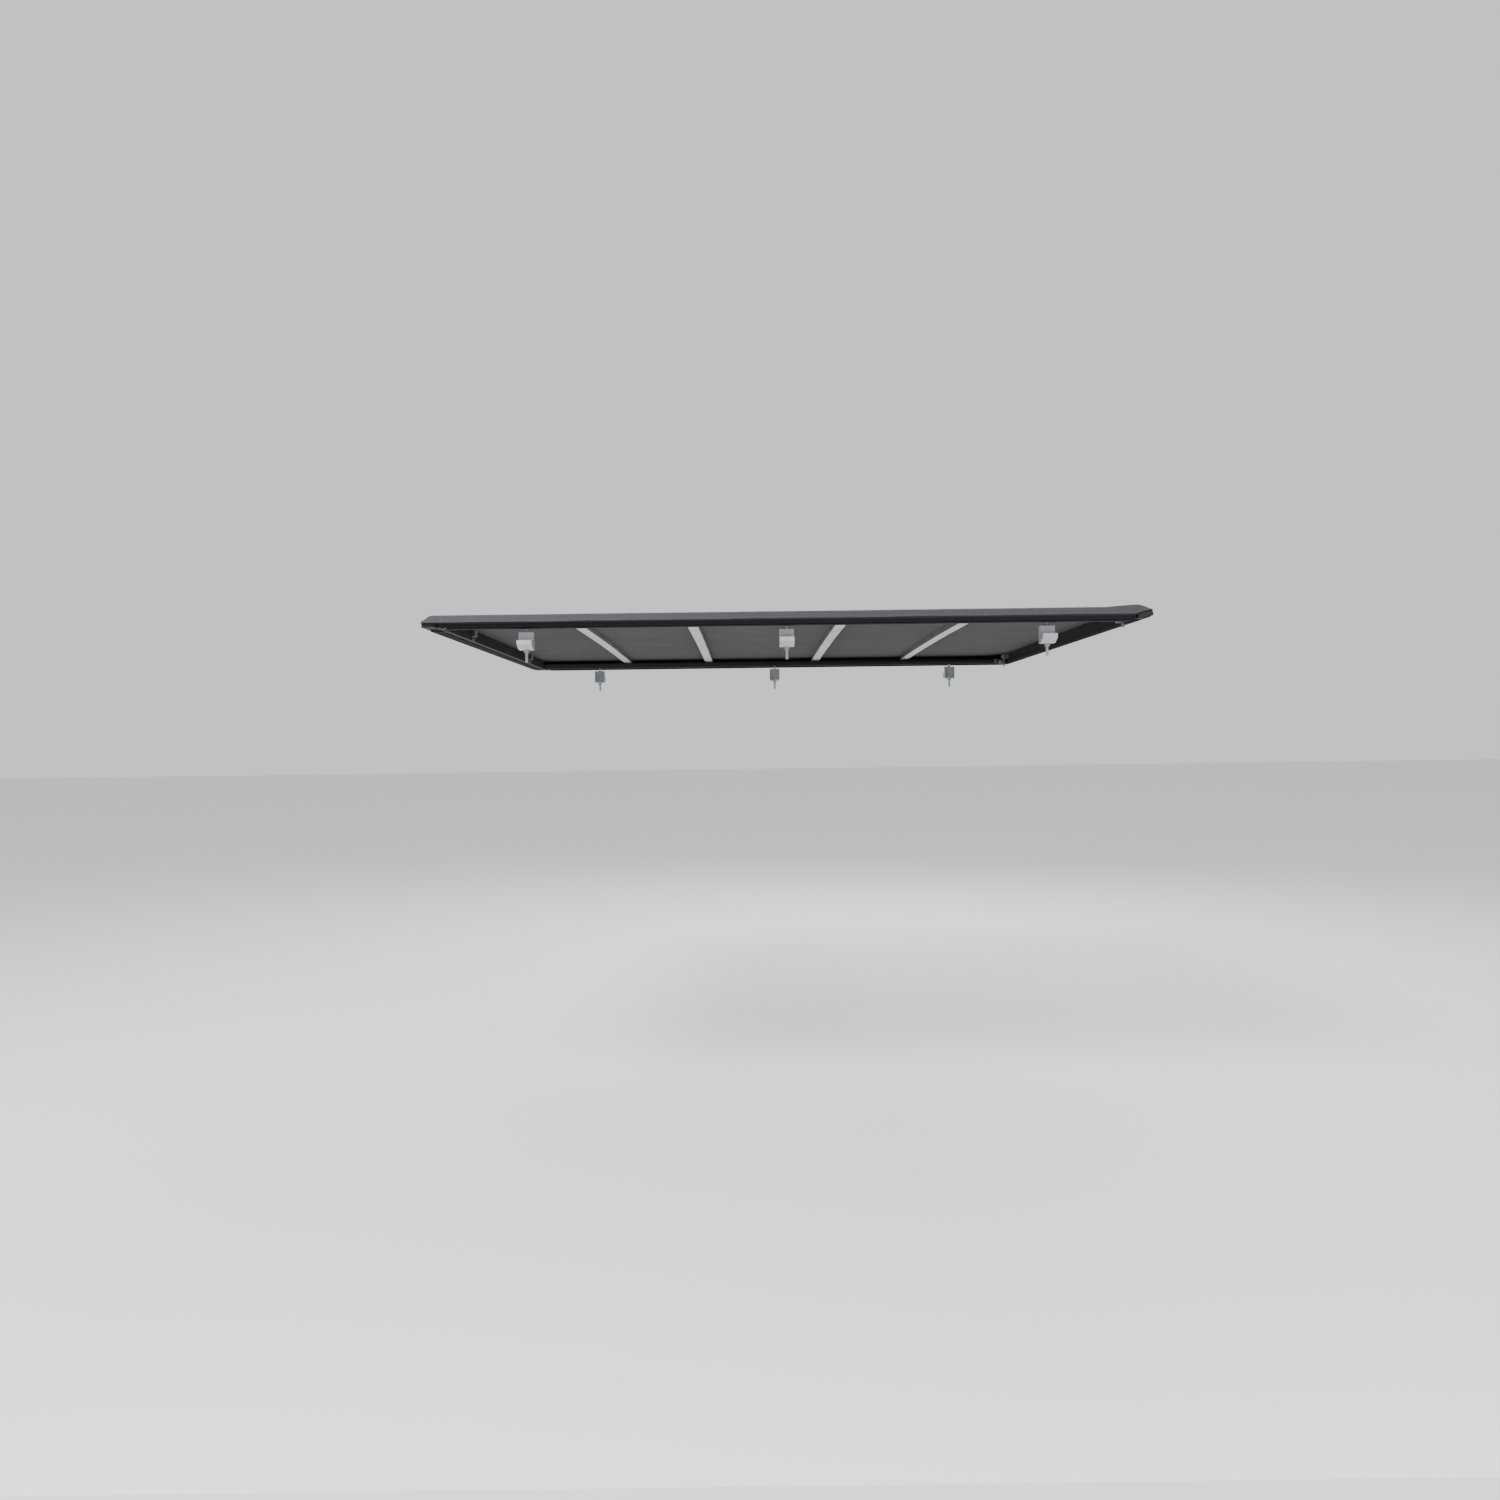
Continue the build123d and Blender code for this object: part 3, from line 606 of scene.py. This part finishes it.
def closed_layer(outer, normal, thickness):
    """Vertices, faces and materials of a thin closed layer under a grid of outer points."""
    count, rows = outer.shape[:2]
    inner = outer - normal * thickness
    verts = np.concatenate([outer.reshape(-1, 3), inner.reshape(-1, 3)])
    half = count * rows
    faces, kinds = [], []
    for i in range(count - 1):
        for j in range(rows - 1):
            a = i * rows + j
            b = a + rows
            faces.append((a, b, b + 1, a + 1))
            kinds.append(0)
            faces.append((half + a, half + a + 1, half + b + 1, half + b))
            kinds.append(1)
    for i in range(count - 1):
        for j in (0, rows - 1):
            a, b = i * rows + j, (i + 1) * rows + j
            faces.append((a, half + a, half + b, b) if j == 0 else (a, b, half + b, half + a))
            kinds.append(0)
    for i, flip in ((0, False), (count - 1, True)):
        for j in range(rows - 1):
            a = i * rows + j
            face = (a, a + 1, half + a + 1, half + a)
            faces.append(face[::-1] if flip else face)
            kinds.append(0)
    return list(verts), faces, kinds


STITCH, STITCH_GAP, THREAD_RADIUS = 0.0042, 0.0012, 0.00042


def add_stitches(layer, line, normals):
    """Lay a row of stitches on the line; each dips into the sheet at both ends."""
    verts, faces, kinds = layer
    steps = np.linalg.norm(np.diff(line, axis=0), axis=1)
    run = np.concatenate([[0.0], np.cumsum(steps)])
    total = int((run[-1] - STITCH_GAP) / (STITCH + STITCH_GAP))
    pitch = run[-1] / max(total, 1)

    def at(s, table):
        return np.array([np.interp(s, run, table[:, k]) for k in range(3)])

    sides = 5
    for n in range(total):
        start = n * pitch + STITCH_GAP / 2
        first = len(verts)
        for share, lift in ((0.0, -0.9), (0.12, 0.35), (0.5, 0.75), (0.88, 0.35), (1.0, -0.9)):
            s = start + share * (pitch - STITCH_GAP)
            normal = at(s, normals)
            normal /= np.linalg.norm(normal)
            ahead = at(min(s + 0.0005, run[-1]), line) - at(max(s - 0.0005, 0.0), line)
            ahead /= np.linalg.norm(ahead)
            across = np.cross(normal, ahead)
            centre = at(s, line) + normal * (lift * THREAD_RADIUS)
            for k in range(sides):
                turn = 2 * math.pi * k / sides
                verts.append(centre + THREAD_RADIUS * (math.cos(turn) * across + math.sin(turn) * normal))
        for ring in range(4):
            for k in range(sides):
                a, b = first + ring * sides + k, first + ring * sides + (k + 1) % sides
                faces.append((a, b, b + sides, a + sides))
                kinds.append(2)
        faces.append(tuple(first + k for k in range(sides))[::-1])
        faces.append(tuple(first + 4 * sides + k for k in range(sides)))
        kinds.extend((2, 2))


cuts = [0] + [int(np.argmin(np.abs(XS - m))) for m in middles[:-1]] + [len(XS) - 1]


def fold_over(piece):
    """Bake the piece's placement into its mesh; the piece is not bent across any fold."""
    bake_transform(piece)


def sheet_nodes(number):
    own = f"sheet_panel_{number + 1:02d}" if number < 13 else "sheet_tail"
    return (["sheet_front", own] if number == 0 else [own])


def nearest(table, value):
    return int(np.argmin(np.abs(table - value)))


# rows of stitches along the skirts (hem, and the upper edge of the strip sewn inside the skirt),
# and across the cover at the front hem, behind the header and round the tail bar
ALONG_ROWS = [nearest(YS, side * y) for side in (-1, 1) for y in (HEM_Y - 0.0042, SHOULDER_Y + 0.0055)]
ACROSS_COLUMNS = [nearest(XS, x) for x in (-0.9870, HEADER_REAR + 0.010, TAIL_FRONT - 0.012, 0.9880)]
FLAT_ROWS = slice(nearest(YS, -SHOULDER_Y + 0.006), nearest(YS, SHOULDER_Y - 0.006) + 1)

fabric = FINISH["coated_fabric"]
for number in range(len(panels)):
    i0, i1 = cuts[number], cuts[number + 1]
    layer = closed_layer(POINTS[i0:i1 + 1], NORMALS[i0:i1 + 1], SHEET)
    for row in ALONG_ROWS:
        add_stitches(layer, POINTS[i0:i1 + 1, row], NORMALS[i0:i1 + 1, row])
    for column in ACROSS_COLUMNS:
        if i0 < column < i1:
            add_stitches(layer, POINTS[column, FLAT_ROWS], NORMALS[column, FLAT_ROWS])
    piece = new_piece(f"sheet_{number + 1:02d}", layer[0], layer[1], [fabric, scrim, thread], layer[2])
    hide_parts(*sheet_nodes(number))
    fold_over(piece)


NOSE_HALF_WIDTH, NOSE_CUT = 0.8195, 0.047
NOSE_STITCH_ROW = 4


def nose_wrap():
    """The rear end of the sheet, turned down over the nose of the tail bar and under it."""
    profile = [(0.9925, 0.0288), (0.9942, 0.0279), (0.9950, 0.0262), (0.9952, 0.0235), (0.9952, 0.0190),
               (0.9952, 0.0145), (0.9950, 0.0115), (0.9942, 0.0098), (0.9925, 0.0088), (0.9880, 0.0073),
               (0.9830, 0.0057), (0.9780, 0.0040), (0.9735, 0.0026), (0.9712, 0.0020)]
    across = np.linspace(-NOSE_HALF_WIDTH, NOSE_HALF_WIDTH, 150)
    grid = np.array([[(x + 0.00018 * math.sin(23 * y + 60 * z) + 0.0001 * math.sin(57 * y), y, z)
                      for y in across] for x, z in profile])
    normals = grid_normals(grid)
    layer = closed_layer(grid, normals, SHEET * 0.9)
    add_stitches(layer, grid[NOSE_STITCH_ROW], normals[NOSE_STITCH_ROW])
    return layer


layer = nose_wrap()
nose = new_piece("sheet_nose", layer[0], layer[1], [fabric, scrim, thread], layer[2])
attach(nose, "tail")
